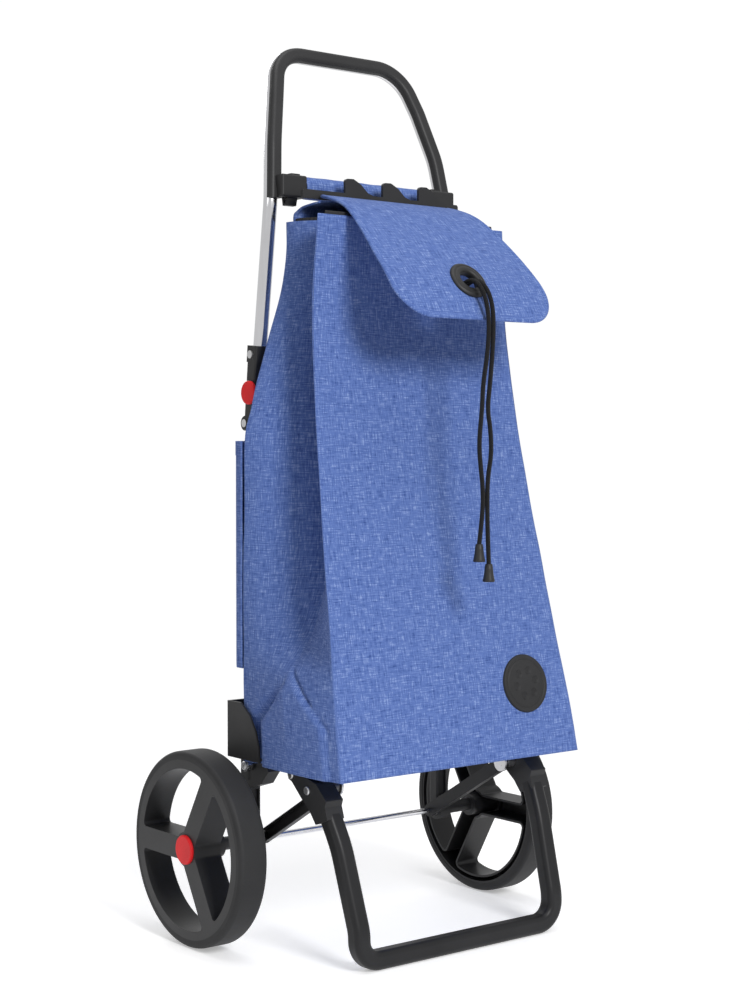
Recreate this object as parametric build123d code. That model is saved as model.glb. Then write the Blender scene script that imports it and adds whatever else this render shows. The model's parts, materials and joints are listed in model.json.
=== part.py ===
from build123d import *
import math
import os

# Two-wheeled folding shopping trolley. Millimetres. +X right, +Y rear, +Z up.
# Origin: on the ground, under the middle of the trolley's bounding box.

# ---- driving dimensions ----
WHEEL_R = 110.0
TYRE_W = 36.4
WHEEL_FACE_X = 232.8
RIM_R = 100.5
LIP_R = 90.5
RIM_SKIN = 2.6
SPOKE_W = 25.5
HUB_R = 19.5
CAP_R = 16.5
CAP_PROUD = 3.4
AXLE_Y = 61.0
AXLE_Z = WHEEL_R
AXLE_R = 3.5
RUN = 0.05

UPRIGHT_Y = 64.0
COLUMN_X = 141.35
COLUMN_W = 16.9
COLUMN_D = 14.4
COLUMN_TOP = 206.0
TUBE_R = 8.0
LOWER_PIVOT = (70.0, 588.0)
HINGE_X = 134.0
LEAN = 5.5
TUBE_SET = -4.4

PLATFORM_X = 155.0
PLATFORM_FRONT = -129.0
ROD_R = 3.5
PLATFORM_PIVOT = (52.0, 198.0)
LEG_PIVOT = (-43.0, 201.5)
STRUT_PIVOT = (-73.0, 188.0)
FOOT_X = 141.6
FOOT_Y = -138.5
LEG_W = 20.8
PIN_R = 2.5
LEG_PIN_R = 1.8
EYE_R = 8.2

BAG_BOTTOM = 207.0
BAG_TOP = 816.0
CLOTH = 2.5

GRIP_START = 843.0
CROSSBAR_Y = 31.0
CROSSBAR_Z = 856.5
CROSSBAR_R = 5.0
SLEEVE_X = 92.0

FLAP_T = 3.4
EYELET_X = 5.0
EYELET = (-146.0, 744.0)
EYELET_TILT = 54.0
CORD_R = 2.5

os.makedirs("parts", exist_ok=True)


# ---- helpers ----
def save(name, shape):
    solids = list(shape.solids())
    body = solids[0] if len(solids) == 1 else Compound(children=solids)
    export_step(body, f"parts/{name}.step")


def cyl_x(radius, x0, x1, y, z):
    """Round bar along X from x0 to x1."""
    bar = Cylinder(radius, abs(x1 - x0), rotation=(0, 90, 0))
    return Pos((x0 + x1) / 2, y, z) * bar


def cyl_y(radius, y0, y1, x, z):
    """Round bar along Y from y0 to y1."""
    bar = Cylinder(radius, abs(y1 - y0), rotation=(90, 0, 0))
    return Pos(x, (y0 + y1) / 2, z) * bar


def ring_x(outer, inner, x0, x1, y, z):
    return cyl_x(outer, x0, x1, y, z) - cyl_x(inner, x0 - 1, x1 + 1, y, z)


def block(x0, x1, y0, y1, z0, z1):
    size = (x1 - x0, y1 - y0, z1 - z0)
    return Pos((x0 + x1) / 2, (y0 + y1) / 2, (z0 + z1) / 2) * Box(*size)


def side_prism(points, x0, x1, radius=0.0):
    """Prism along X over a side outline given as (y, z) points."""
    face = make_face(Polyline([(0, y, z) for y, z in points], close=True).edges())
    if radius:
        face = fillet(face.vertices(), radius)
    solid = extrude(face, amount=x1 - x0, dir=(1, 0, 0))
    return Pos(x0, 0, 0) * solid


def round_bar(path, radius):
    """Round section swept along a path."""
    section = Plane(origin=path @ 0, z_dir=path % 0) * Circle(radius)
    return sweep(section, path)


def mirrored(shape):
    return mirror(shape, about=Plane.YZ)


def save_pair(name, right):
    """Writes the right-hand piece and its mirror image as NAME_right and NAME_left."""
    save(f"{name}_right", right)
    save(f"{name}_left", mirrored(right))


def both(right):
    """Right-hand piece and its mirror image, as separate solids of one node."""
    return Compound(children=list(right.solids()) + list(mirrored(right).solids()))


# ---- wheels ----
def wheel_window_sketch():
    """The three openings between the spokes, in the wheel's plane."""
    field = Circle(LIP_R)
    for turn in (0, 120, 240):
        field -= Rot(0, 0, turn) * Pos(LIP_R / 2, 0) * Rectangle(LIP_R + 10, SPOKE_W)
    field -= Circle(HUB_R)
    return fillet(field.vertices(), 4.5)


def rim():
    """Deep-dish rim moulding: face plate, window walls, tyre seat and hub tube, open at the back."""
    windows = wheel_window_sketch()
    face = extrude(Circle(RIM_R) - windows - Circle(CAP_R + 0.2), amount=-3.0)
    walls = extrude(offset(windows, amount=RIM_SKIN) - windows, amount=-(TYRE_W - 1.4))
    seat = extrude(Circle(RIM_R) - Circle(RIM_R - RIM_SKIN), amount=-(TYRE_W - 0.6))
    hub = Pos(0, 0, -4.0) * extrude(Circle(14.0) - Circle(9.5), amount=-41.0)
    web = Pos(0, 0, -4.0) * extrude(Circle(HUB_R - 0.5) - Circle(9.5), amount=-3.0)
    step = Pos(0, 0, -2.0) * extrude(Circle(HUB_R - 0.5) - Circle(CAP_R + 0.2), amount=-2.5)
    return face + walls + seat + hub + web + step


def tyre():
    ring = Circle(WHEEL_R) - Circle(RIM_R)
    body = extrude(ring, amount=-TYRE_W)
    outer = [e for e in body.edges().filter_by(GeomType.CIRCLE) if e.radius > RIM_R + 1]
    return fillet(outer, 5.5)


def hub_cap():
    disc = extrude(Circle(CAP_R), amount=CAP_PROUD) + Pos(0, 0, -3.8) * extrude(Circle(CAP_R), amount=3.8)
    rim_edge = disc.edges().filter_by(GeomType.CIRCLE).sort_by(Axis.Z)[-1]
    disc = fillet(rim_edge, 1.6)
    return disc - Pos(0, 0, -3.8) * extrude(Circle(CAP_R - 2.5), amount=5.0)


def hub_bush():
    return Pos(0, 0, -9.0) * extrude(Circle(9.5) - Circle(AXLE_R + RUN), amount=-36.5)


def build_wheels():
    for side, sign, spin in (("right", 1, 0), ("left", -1, 180)):
        # The wheel's own +Z points outboard; spoke 1 points along its own +X.
        place = Pos(sign * WHEEL_FACE_X, AXLE_Y, AXLE_Z)
        face = Plane(origin=(0, 0, 0), x_dir=(0, -1, 0), z_dir=(sign, 0, 0))
        turn = place * face.location * Rot(0, 0, spin)
        save(f"rim_{side}", turn * rim())
        save(f"tyre_{side}", turn * tyre())
        save(f"hub_cap_{side}", turn * hub_cap())
        save(f"hub_bush_{side}", turn * hub_bush())


# ---- lower chassis ----
def lower_tube():
    """Chrome upright from the moulded foot to the folding hinge, with a rounded knuckle on top."""
    y, z = LOWER_PIVOT
    low = Vector(COLUMN_X, UPRIGHT_Y, 184.0)
    high = Vector(HINGE_X, y, z)
    tube = round_bar(Line(low, high), TUBE_R)
    return tube + Pos(*high) * Sphere(TUBE_R) - cyl_x(PIN_R + RUN, 115, 150, y, z)


def column(tube):
    """Cast foot of one upright: axle boss, ribbed shank, tube socket and forward arm."""
    x0, x1 = COLUMN_X - COLUMN_W / 2, COLUMN_X + COLUMN_W / 2
    y0, y1 = UPRIGHT_Y - COLUMN_D / 2, UPRIGHT_Y + COLUMN_D / 2
    shank = block(x0, x1, y0, y1, 112, COLUMN_TOP - 4)
    shank = fillet(shank.edges().filter_by(Axis.Z), 2.0)
    boss = cyl_x(12.0, x0, x1, AXLE_Y, AXLE_Z)
    socket = block(x0 - 1.5, x1 + 0.8, y0 - 2.5, y1 + 2.5, 180, COLUMN_TOP)
    socket = fillet(socket.edges().filter_by(Axis.Z), 3.0)
    arm = side_prism([(y0 + 2, 204), (20, 198.5), (18, 194), (32, 178), (y0 + 2, 170)], x0, x1)
    body = shank + boss + socket + arm
    for front in (y0 - 0.01, y1 - 2.99):
        body -= block(x0 + 3, x1 - 3, front, front + 3, 128, 168)
    pin_hole = cyl_x(PIN_R, x0 - 5, x1 + 5, *PLATFORM_PIVOT)
    return body - tube - cyl_x(AXLE_R, x0 - 1, x1 + 1, AXLE_Y, AXLE_Z) - pin_hole


def axle_rod():
    return cyl_x(AXLE_R, -227.6, 227.6, AXLE_Y, AXLE_Z)


def axle_clips():
    """Push-on star clips that keep the wheels on the axle."""
    return both(ring_x(7.5, AXLE_R, 224.2, 225.4, AXLE_Y, AXLE_Z))


def axle_spacer():
    x0 = COLUMN_X + COLUMN_W / 2
    return ring_x(7.5, AXLE_R, x0, 186.6, AXLE_Y, AXLE_Z)


def strut_collar():
    """Plain washer between a strut's eye and its column."""
    return ring_x(7.0, AXLE_R, 130.7, COLUMN_X - COLUMN_W / 2, AXLE_Y, AXLE_Z)


def guard(tubes):
    """Thin plastic tray wall behind and beside the foot of the bag."""
    outline = [(56.4, 210.5), (-6, 210.5), (-4, 228), (2, 245), (13, 261), (31, 274), (56.4, 274)]
    shell = block(-179, 179, 53.4, 56.4, 210.5, 274)
    for x in (-179, 176.5):
        shell += side_prism(outline, x, x + 2.5)
    return shell - tubes


def guard_screws():
    """Screw heads that hold the guard to the uprights."""
    heads = [cyl_y(4.0, 51.4, 53.4, x, z) for x in (-COLUMN_X, COLUMN_X) for z in (226, 256)]
    return Compound(children=heads)


# ---- folding platform, leg frame and struts ----
def platform_rod():
    """Chrome wire U that carries the bag, with a cross wire and an eye at each rear end."""
    py, pz = PLATFORM_PIVOT
    x, front, z = PLATFORM_X, PLATFORM_FRONT, 201.5
    points = [(-x, py, pz), (-x, 30, z), (-x, front, z), (x, front, z), (x, 30, z), (x, py, pz)]
    rod = round_bar(FilletPolyline(*points, radius=[12, 30, 30, 12]), ROD_R)
    rod += cyl_x(ROD_R, -x, x, 0, z)
    for sign in (-1, 1):
        rod += cyl_x(7.0, sign * (x - ROD_R), sign * (x + ROD_R), py, pz)
    for sign in (-1, 1):
        rod -= cyl_x(PIN_R + RUN, sign * 145, sign * 165, py, pz)
        rod -= cyl_x(LEG_PIN_R, sign * 145, sign * 165, *LEG_PIVOT)
    return rod


def pivot_pin(x0, x1, y, z, radius=PIN_R):
    """Rivet shank along X from x0 to x1 with a domed head outside x1."""
    shaft = cyl_x(radius, x0, x1, y, z)
    outer = cyl_x(4.8, x1, x1 + 2.0, y, z)
    outer = fillet(outer.edges().filter_by(GeomType.CIRCLE).sort_by(Axis.X)[-1], 1.4)
    return shaft + outer


def platform_pins():
    return both(pivot_pin(COLUMN_X - 6, 158.9, *PLATFORM_PIVOT))


def leg_pivot_rivets():
    right = pivot_pin(145.0, 162.2, *LEG_PIVOT, radius=LEG_PIN_R)
    return both(right + cyl_x(3.0, 144.4, 145.2, *LEG_PIVOT))


def leg_tube():
    """Square-section leg frame: foot bar and two legs that lean back to the platform."""
    side = [(FOOT_X, FOOT_Y, LEG_W / 2 - 0.2), (FOOT_X, FOOT_Y, 42), (146, -113, 130), (150, -93, 172)]
    left = [(-x, y, z) for x, y, z in side]
    points = left[::-1] + side
    path = FilletPolyline(*points, radius=[150, 50, 24, 24, 50, 150])
    section = Plane(origin=path @ 0, x_dir=(1, 0, 0), z_dir=path % 0) * RectangleRounded(LEG_W, LEG_W, 6.2)
    return sweep(section, path) - block(-200, 200, -200, -50, -5, 0)


def leg_end(tube):
    """Moulded head of one leg: it wraps the tube's top and straddles the platform rod."""
    y, z = LEG_PIVOT
    outline = [
        (y, z + 3.3), (y - 14, z + 3.3), (-89, 197), (-107, 181), (-104.5, 174), (-109, 161), (-88, 153),
        (-77, 166), (-64, 176), (-44, 193.8), (y + 5, z - 5.5), (y + 6.5, z - 2),
    ]
    body = side_prism(outline, 139.0, 162.0, 1.4)
    body -= block(150.6, 159.4, -140, y + 20, 197.2, 220)
    body -= cyl_x(12.0, 150.6, 159.4, y, z)
    body -= cyl_x(LEG_PIN_R + RUN, 130, 165, y, z)
    body -= cyl_x(PIN_R, 130, 165, *STRUT_PIVOT)
    body -= cyl_x(3.2, 130, 146.0, y, z)
    return body - tube


def strut_rivets():
    """Rivets at the struts' upper ends, fixed in the leg heads, with a spacer and a broad washer."""
    right = pivot_pin(121.6, 162.0, *STRUT_PIVOT)
    right += cyl_x(6.0, 131.2, 139.0, *STRUT_PIVOT)
    right += cyl_x(10.2, 119.8, 122.2, *STRUT_PIVOT)
    return both(right)


def strut():
    """Pressed channel from the axle to the leg head, open outwards, with an eye at each end."""
    ay, az = AXLE_Y, AXLE_Z
    by, bz = STRUT_PIVOT
    length = math.hypot(by - ay, bz - az)
    angle = math.degrees(math.atan2(bz - az, ay - by))
    x0, x1 = 122.6, 130.5
    web = Pos(x0 + 0.8, -length / 2, 0) * Box(1.6, length, 15)
    flange = Pos((x0 + x1) / 2, -length / 2, 0) * Box(x1 - x0, length - 14, 15)
    flange -= Pos((x0 + x1) / 2, -length / 2, 0) * Box(x1 - x0 + 2, length, 12)
    eyes = cyl_x(7.5, x0, x1, 0, 0) + cyl_x(10.2, x0, x0 + 1.6, -length, 0)
    body = web + flange + eyes
    body -= cyl_x(AXLE_R + RUN, x0 - 1, x1 + 1, 0, 0)
    body -= cyl_x(EYE_R, x0 - 1, x1 + 1, -length, 0)
    return Pos(0, ay, az) * Rot(-angle, 0, 0) * body


# ---- folding hinge links and buttons ----
BUTTON_Y = -9.5
BUTTON_Z = 35.7
RIVET_Z = 79.0


def at_hinge(shape):
    """Places a shape drawn about the lower pivot, leaning with the upper upright."""
    return Pos(HINGE_X, *LOWER_PIVOT) * Rot(LEAN, 0, 0) * shape


def hinge_link(tube):
    """Channel arm: round lugs at the lower pivot, front web, and a solid socket round the tube."""
    body = block(-11, 11, -14.5, 1.0, 0, 89)
    body = fillet(body.edges().filter_by(Axis.Z).sort_by(Axis.Y)[:2], 2.5)
    body += cyl_x(8.5, -11, 11, 0, 0)
    body -= block(-9, 9, -12.5, 20, -20, 70)
    body -= block(-9, 9, -20, 20, -20, 10)
    body += block(-10, 10, -14.0, 4.6, 70, 89)
    body -= cyl_x(2.9, 0, 20, BUTTON_Y, BUTTON_Z)
    for y, z in ((0, 0), (TUBE_SET, RIVET_Z)):
        body -= cyl_x(PIN_R, -20, 20, y, z)
    return at_hinge(body) - tube


def rivet_pair(y, z):
    """A rivet across each arm, with a head on both faces."""
    bar = cyl_x(PIN_R, -11, 11, y, z) + cyl_x(4.6, -12.8, -11, y, z) + cyl_x(4.6, 11, 12.8, y, z)
    return both(at_hinge(bar))


def hinge_lock():
    """Lock block behind the arm's front web, bored for the button's stem and spring."""
    body = block(-8.9, 8.9, -12.4, -4.8, 24, 48)
    body -= cyl_x(2.95, -6.0, 20, BUTTON_Y, BUTTON_Z)
    return at_hinge(body)


def button():
    """Round push button: dished head outside the arm, stem through its cheek."""
    head = cyl_x(13.5, 13.2, 16.6, BUTTON_Y, BUTTON_Z)
    head = fillet(head.edges().filter_by(GeomType.CIRCLE).sort_by(Axis.X)[-1], 1.4)
    return at_hinge(head + cyl_x(2.85, 2.4, 13.4, BUTTON_Y, BUTTON_Z))


def button_spring():
    """Compression spring between the stem and the floor of the lock block's bore."""
    turns = Helix(pitch=1.0, height=5.3, radius=1.9)
    section = Plane(origin=turns @ 0, z_dir=turns % 0) * Circle(0.4)
    coil = sweep(section, turns, is_frenet=True)
    return at_hinge(Pos(-5.5, BUTTON_Y, BUTTON_Z) * Rot(0, 90, 0) * coil)


# ---- handle ----
HANDLE_SIDE = [
    (132.7, 58.7, 660.0), (129.5, 40.5, 841.0), (121.5, 51.0, 908.0), (107.0, 67.0, 966.0), (91.0, 86.0, 1019.0),
]
HANDLE_RADII = [60, 120, 90, 46]


def handle_path():
    """Centreline of the handle loop, from the left upright over the top to the right one."""
    left = [(-x, y, z) for x, y, z in HANDLE_SIDE]
    return FilletPolyline(*(left + HANDLE_SIDE[::-1]), radius=HANDLE_RADII + HANDLE_RADII[::-1])


def handle_tube():
    tube = round_bar(handle_path(), TUBE_R)
    return tube - both(at_hinge(cyl_x(PIN_R, -20, 20, TUBE_SET, RIVET_Z)))


def handle_grip(tube):
    """Plastic cover over the front and inner side of the handle loop."""
    path = handle_path()
    start = Plane(origin=path @ 0, x_dir=(1, 0, 0), z_dir=path % 0)
    cover = sweep(start * Pos(1.0, -5.2) * RectangleRounded(17.0, 12.6, 5.4), path)
    cover -= block(-200, 200, -200, 300, 500, GRIP_START)
    return cover - tube


def crossbar_bracket(grip, tube):
    """Plastic bracket that carries the crossbar, with a bag hook under it."""
    y, z = CROSSBAR_Y, CROSSBAR_Z
    body = block(SLEEVE_X + 0.6, 128, y - 11.5, y + 9, z - 13.0, z + 12.5)
    body = fillet(body.edges(), 2.5)
    body += block(98, 110, y - 4, y + 4, z + 11, z + 15)
    hook = side_prism([(y - 8, z - 11), (y + 4, z - 11), (y + 2, z - 22), (y - 5, z - 22)], 104, 118)
    body += hook - cyl_x(1.9, 100, 122, y - 1.5, z - 17.5)
    return body - cyl_x(CROSSBAR_R, 80, 114, y, z) - grip - tube


def crossbar():
    return cyl_x(CROSSBAR_R, -114, 114, CROSSBAR_Y, CROSSBAR_Z)


def crossbar_sleeve():
    """Padded fabric sleeve round the crossbar, taller than it is deep."""
    section = Ellipse(13.4, 11.0) - Circle(CROSSBAR_R)
    sleeve = extrude(Plane.YZ * Rot(0, 0, 90) * section, amount=SLEEVE_X, both=True)
    return Pos(0, CROSSBAR_Y, CROSSBAR_Z) * sleeve


# ---- bag ----
# Each level of the bag: height, front half width, front Y, rear half width, rear Y.
BAG_LEVELS = [
    (BAG_BOTTOM, 174.7, -150.0, 175.0, 33.0),
    (380.0, 164.0, -113.0, 174.0, 33.0),
    (570.0, 152.0, -74.5, 171.0, 33.0),
    (690.0, 145.5, -57.0, 136.0, 32.0),
    (BAG_TOP, 138.0, -58.0, 114.0, 30.0),
]


def bag_section(level, inset=0.0, height=None):
    z, front_x, front_y, rear_x, rear_y = level
    z = z if height is None else height
    outline = [
        (-front_x + inset, front_y + inset, z),
        (front_x - inset, front_y + inset, z),
        (rear_x - inset, rear_y - inset, z),
        (-rear_x + inset, rear_y - inset, z),
    ]
    return make_face(Polyline(outline, close=True).edges())


def bag_loft(inset, bottom, top):
    """Stack of ruled lofts between the bag's levels, inset by the given distance."""
    heights = [bottom] + [level[0] for level in BAG_LEVELS[1:-1]] + [top]
    faces = [bag_section(level, inset, z) for level, z in zip(BAG_LEVELS, heights)]
    return sum((loft([low, high], ruled=True) for low, high in zip(faces, faces[1:])), Part())


def bag_body():
    """Fabric bag as a shell of its outer shape, open at the top."""
    return bag_loft(0.0, BAG_BOTTOM, BAG_TOP) - bag_loft(CLOTH, BAG_BOTTOM + CLOTH, BAG_TOP + 0.01)


def bag_base_board():
    return block(-168, 168, -142, 28, BAG_BOTTOM + CLOTH + 0.5, BAG_BOTTOM + CLOTH + 3.5)


def bag_collar():
    """Lining collar with its drawstring tunnel, inside the bag's mouth."""
    def ring(inset, z0, z1):
        low = bag_section((z0, 139.5, -58.0, 118.5, 30.3), inset)
        high = bag_section((z1, 138.0, -58.0, 114.0, 30.0), inset)
        return loft([low, high], ruled=True)
    return ring(CLOTH + 1.4, 789.0, 820.0) - ring(CLOTH + 3.9, 788.0, 821.0)


def bag_pocket():
    """Flat pocket across the bag's back, open at the top."""
    outer = block(-172, 172, 34.4, 49.5, 313, 568)
    return outer - block(-170.4, 170.4, 34.0, 47.9, 314.6, 570)


def bag_badge():
    """Round rubber badge low on the bag's front."""
    lean = math.degrees(math.atan2(37.0, 173.0))
    disc = Cylinder(33.5, 4.0, rotation=(90, 0, 0))
    disc = fillet(disc.edges().filter_by(GeomType.CIRCLE).sort_by(Axis.Y)[0], 1.2)
    return Pos(103, -134.4, 290.0) * Rot(-lean, 0, 0) * disc


def comb_rail():
    """Plastic rail along the bag's top with three hooks that stand in front of the sleeve."""
    rail = block(-115, 115, -2.0, 2.6, 840.5, 850.5)
    rail = fillet(rail.edges().filter_by(Axis.Y), 3.0)
    for x in (-55.0, 0.0, 54.0):
        fin = [(x, 846), (x, 867), (x + 12, 867.5), (x + 23, 862), (x + 33, 853), (x + 43, 850), (x + 43, 846)]
        face = make_face(Polyline([(u, 0, z) for u, z in fin], close=True).edges())
        face = fillet([v for v in face.vertices() if v.Z > 851], 4.0)
        rail += Pos(0, -2.0, 0) * extrude(face, amount=3.6, dir=(0, 1, 0))
    return rail


def sheet_profile(points, radius):
    """Cloth sheet seen from the side, as a face in the Y-Z plane."""
    return Plane.YZ * trace(FilletPolyline(*points, radius=radius), FLAP_T)


def flap_root():
    """Fixed strip behind the flap, from the bag's back panel over the mouth to the rail."""
    face = sheet_profile([(28.6, 816.2), (27.0, 833.6), (-4.5, 837.6)], 8)
    return Pos(-105, 0, 0) * extrude(face, amount=210, dir=(1, 0, 0))


def flap_cutter():
    """Front view outline of the flap, as a prism along Y."""
    outline = [(-94, 870), (-95, 834), (-105, 770), (-108, 699.0), (124, 699.0), (117, 770), (101, 834), (99, 870)]
    face = make_face(Polyline([(x, 0, z) for x, z in outline], close=True).edges())
    face = fillet([v for v in face.vertices() if v.Z < 705], 45)
    return Pos(0, -300, 0) * extrude(face, amount=400, dir=(0, 1, 0))


def at_eyelet(shape):
    """Places a shape whose +Z is the flap's outward normal at the eyelet."""
    return Pos(EYELET_X, *EYELET) * Rot(EYELET_TILT, 0, 0) * shape


def bag_flap():
    """Flap that overhangs the bag's front like a visor, with a hole for the eyelet."""
    line = [(-6.5, 843.2), (-43.2, 832.6), (-74.0, 812.8), (-120.8, 769.0), (-144.8, 743.0), (-170.3, 698.0)]
    face = sheet_profile(line, [70, 110, 200, 60])
    sheet = Pos(-125, 0, 0) * extrude(face, amount=260, dir=(1, 0, 0))
    piping = cyl_x(FLAP_T / 2, -94.4, 99.4, *line[0])
    return (sheet & flap_cutter()) + piping - at_eyelet(Cylinder(24.0, 40))


def eyelet():
    """Two-part plastic eyelet: a broad front flange and the ring that clamps it."""
    front = Pos(0, 0, 1.6) * (Cylinder(23.7, 3.2) - Cylinder(11.5, 8))
    front = fillet(front.edges().filter_by(GeomType.CIRCLE).sort_by(Axis.Z)[-2:], 1.2)
    back = Pos(0, 0, -1.6) * (Cylinder(22.0, 3.0) - Cylinder(12.2, 8))
    return at_eyelet(front + back)


# ---- cords ----
# Each route runs from the knot behind the eyelet, through it, over the flap's lip and down.
CORD_LEFT = [
    (2.0, -133.5, 735.0), (2.0, -145.5, 743.7), (2.5, -160.5, 743.5), (4.0, -171.5, 732.0),
    (6.0, -177.0, 714.0), (7.0, -178.5, 690.0), (4.5, -178.0, 660.0), (-1.0, -177.5, 630.0),
    (-3.0, -178.0, 600.0), (-6.5, -177.0, 566.0), (-4.5, -177.5, 540.0), (-0.5, -177.0, 516.0),
    (-1.0, -177.5, 490.0), (-5.0, -176.0, 455.0),
]
CORD_RIGHT = [
    (8.0, -133.5, 735.0), (8.0, -145.5, 743.7), (9.5, -160.5, 743.5), (11.5, -171.5, 732.0),
    (13.0, -177.5, 714.0), (13.0, -179.0, 690.0), (11.0, -178.5, 655.0), (8.0, -178.0, 625.0),
    (4.5, -178.5, 602.0), (10.0, -177.5, 580.0), (11.0, -178.0, 553.0), (6.0, -177.5, 528.0),
    (4.8, -178.0, 500.0), (5.2, -178.5, 465.0), (5.5, -180.0, 433.0),
]


def cord_radii(points):
    """Largest arc that each corner's two runs allow."""
    radii = []
    for a, b, c in zip(points, points[1:], points[2:]):
        before = Vector(*b) - Vector(*a)
        after = Vector(*c) - Vector(*b)
        turn = math.radians(before.get_angle(after))
        radii.append(0.45 * min(before.length, after.length) / math.tan(turn / 2))
    return radii


def cord(name, points):
    """Round cord along its route; prints the length, the tightest bend and a volume check."""
    radii = cord_radii(points)
    path = FilletPolyline(*points, radius=radii)
    tube = round_bar(path, CORD_R)
    ideal = math.pi * CORD_R ** 2 * path.length
    print(f"{name}: length {path.length:.1f}, volume ratio {tube.volume / ideal:.4f}")
    print("  radii " + " ".join(f"{r:.0f}" for r in radii))
    save(name, tube)


def cord_end(top):
    """Bell-shaped end piece under the cord's last point."""
    x, y, z = top
    bell = Cone(6.75, 4.0, 19.5)
    return Pos(x, y, z - 9.8) * fillet(bell.edges().filter_by(GeomType.CIRCLE), 1.0)


def cord_knot():
    """Knot that keeps both cords in the eyelet, behind the flap."""
    return Pos(EYELET_X, -127.6, 730.6) * scale(Sphere(8.0), (1.15, 0.9, 0.9))


# ---- build ----
tube_right = lower_tube()

build_wheels()
save_pair("column", column(tube_right))
save_pair("lower_tube", tube_right)
save("axle_rod", axle_rod())
save("axle_clips", axle_clips())
save_pair("axle_spacer", axle_spacer())
save("strut_collars", both(strut_collar()))
save("rear_guard", guard(both(tube_right)))
save("guard_screws", guard_screws())

legs = leg_tube()
save("platform_rod", platform_rod())
save("platform_pins", platform_pins())
save("leg_pivot_rivets", leg_pivot_rivets())
save("leg_tube", legs)
save_pair("leg_end", leg_end(legs))
save("strut_rivets", strut_rivets())
save_pair("strut", strut())

loop = handle_tube()
save_pair("hinge_link", hinge_link(loop))
save("lower_hinge_rivets", rivet_pair(0, 0))
save("upper_hinge_rivets", rivet_pair(TUBE_SET, RIVET_Z))
save("hinge_locks", both(hinge_lock()))
save_pair("release_button", button())
save("button_springs", both(button_spring()))

grip = handle_grip(loop)
save("handle_tube", loop)
save("handle_grip", grip)
save("crossbar", crossbar())
save_pair("crossbar_bracket", crossbar_bracket(grip, loop))
save("crossbar_sleeve", crossbar_sleeve())

save("bag_body", bag_body())
save("bag_base_board", bag_base_board())
save("bag_collar", bag_collar())
save("bag_pocket", bag_pocket())
save("bag_badge", bag_badge())
save("comb_rail", comb_rail())
save("flap_root", flap_root())
save("bag_flap", bag_flap())
save("eyelet", eyelet())
save("cord_knot", cord_knot())
cord("cord_left", CORD_LEFT)
cord("cord_right", CORD_RIGHT)
save("cord_end_left", cord_end(CORD_LEFT[-1]))
save("cord_end_right", cord_end(CORD_RIGHT[-1]))
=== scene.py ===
"""Looks of a folding shopping trolley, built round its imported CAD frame. Metres, +Z up, +Y rear."""

import json
import math

import bpy
import numpy as np
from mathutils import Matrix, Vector, noise


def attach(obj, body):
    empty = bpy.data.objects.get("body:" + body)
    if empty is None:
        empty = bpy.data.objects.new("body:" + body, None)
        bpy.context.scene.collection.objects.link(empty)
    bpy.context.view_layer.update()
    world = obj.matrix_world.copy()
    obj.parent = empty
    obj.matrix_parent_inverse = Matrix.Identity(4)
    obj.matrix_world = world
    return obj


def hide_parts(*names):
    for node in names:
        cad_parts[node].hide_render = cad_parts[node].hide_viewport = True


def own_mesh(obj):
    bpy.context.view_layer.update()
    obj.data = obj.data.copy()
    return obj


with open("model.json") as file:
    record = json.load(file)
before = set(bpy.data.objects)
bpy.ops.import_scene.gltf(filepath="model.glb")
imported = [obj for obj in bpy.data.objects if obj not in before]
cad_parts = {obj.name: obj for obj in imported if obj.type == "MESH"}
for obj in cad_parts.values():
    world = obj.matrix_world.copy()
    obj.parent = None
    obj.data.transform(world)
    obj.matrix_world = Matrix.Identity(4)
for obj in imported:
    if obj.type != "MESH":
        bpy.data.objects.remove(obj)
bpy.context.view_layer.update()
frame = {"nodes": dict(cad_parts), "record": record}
NODES = frame["nodes"]
MM = 0.001


# ---- camera, light and floor ----
def make_camera():
    data = bpy.data.cameras.new("camera")
    data.sensor_width = 36.0
    data.lens = 65.55
    cam = bpy.data.objects.new("camera", data)
    bpy.context.scene.collection.objects.link(cam)
    bpy.context.scene.camera = cam
    az, el = math.radians(-38.4455), math.radians(1.6848)
    back = Vector((math.sin(az) * math.cos(el), -math.cos(az) * math.cos(el), math.sin(el)))
    cam.location = (-1.3267, -1.6582, 0.5614)
    cam.rotation_mode = "QUATERNION"
    cam.rotation_quaternion = (-back).to_track_quat("-Z", "Y")


def area_light(name, place, target, size, power):
    data = bpy.data.lights.new(name, "AREA")
    data.shape = "RECTANGLE"
    data.size, data.size_y = size
    data.energy = power
    lamp = bpy.data.objects.new(name, data)
    bpy.context.scene.collection.objects.link(lamp)
    lamp.location = place
    lamp.rotation_mode = "QUATERNION"
    lamp.rotation_quaternion = (Vector(target) - Vector(place)).to_track_quat("-Z", "Y")


def make_world():
    world = bpy.data.worlds.new("studio")
    world.use_nodes = True
    tree = world.node_tree
    background = tree.nodes["Background"]
    background.inputs["Color"].default_value = (1.0, 1.0, 1.0, 1.0)
    rays = tree.nodes.new("ShaderNodeLightPath")
    strength = None
    for output, level in (("Is Camera Ray", 1.02), ("Is Glossy Ray", 0.72)):
        part = tree.nodes.new("ShaderNodeMath")
        part.operation = "MULTIPLY"
        part.inputs[1].default_value = level
        tree.links.new(rays.outputs[output], part.inputs[0])
        top = tree.nodes.new("ShaderNodeMath")
        top.operation = "MAXIMUM"
        top.inputs[1].default_value = 0.32
        tree.links.new(part.outputs["Value"], top.inputs[0])
        if strength:
            tree.links.new(strength, top.inputs[1])
        strength = top.outputs["Value"]
    tree.links.new(strength, background.inputs["Strength"])
    bpy.context.scene.world = world
    bpy.context.scene.view_settings.view_transform = "Standard"


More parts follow.
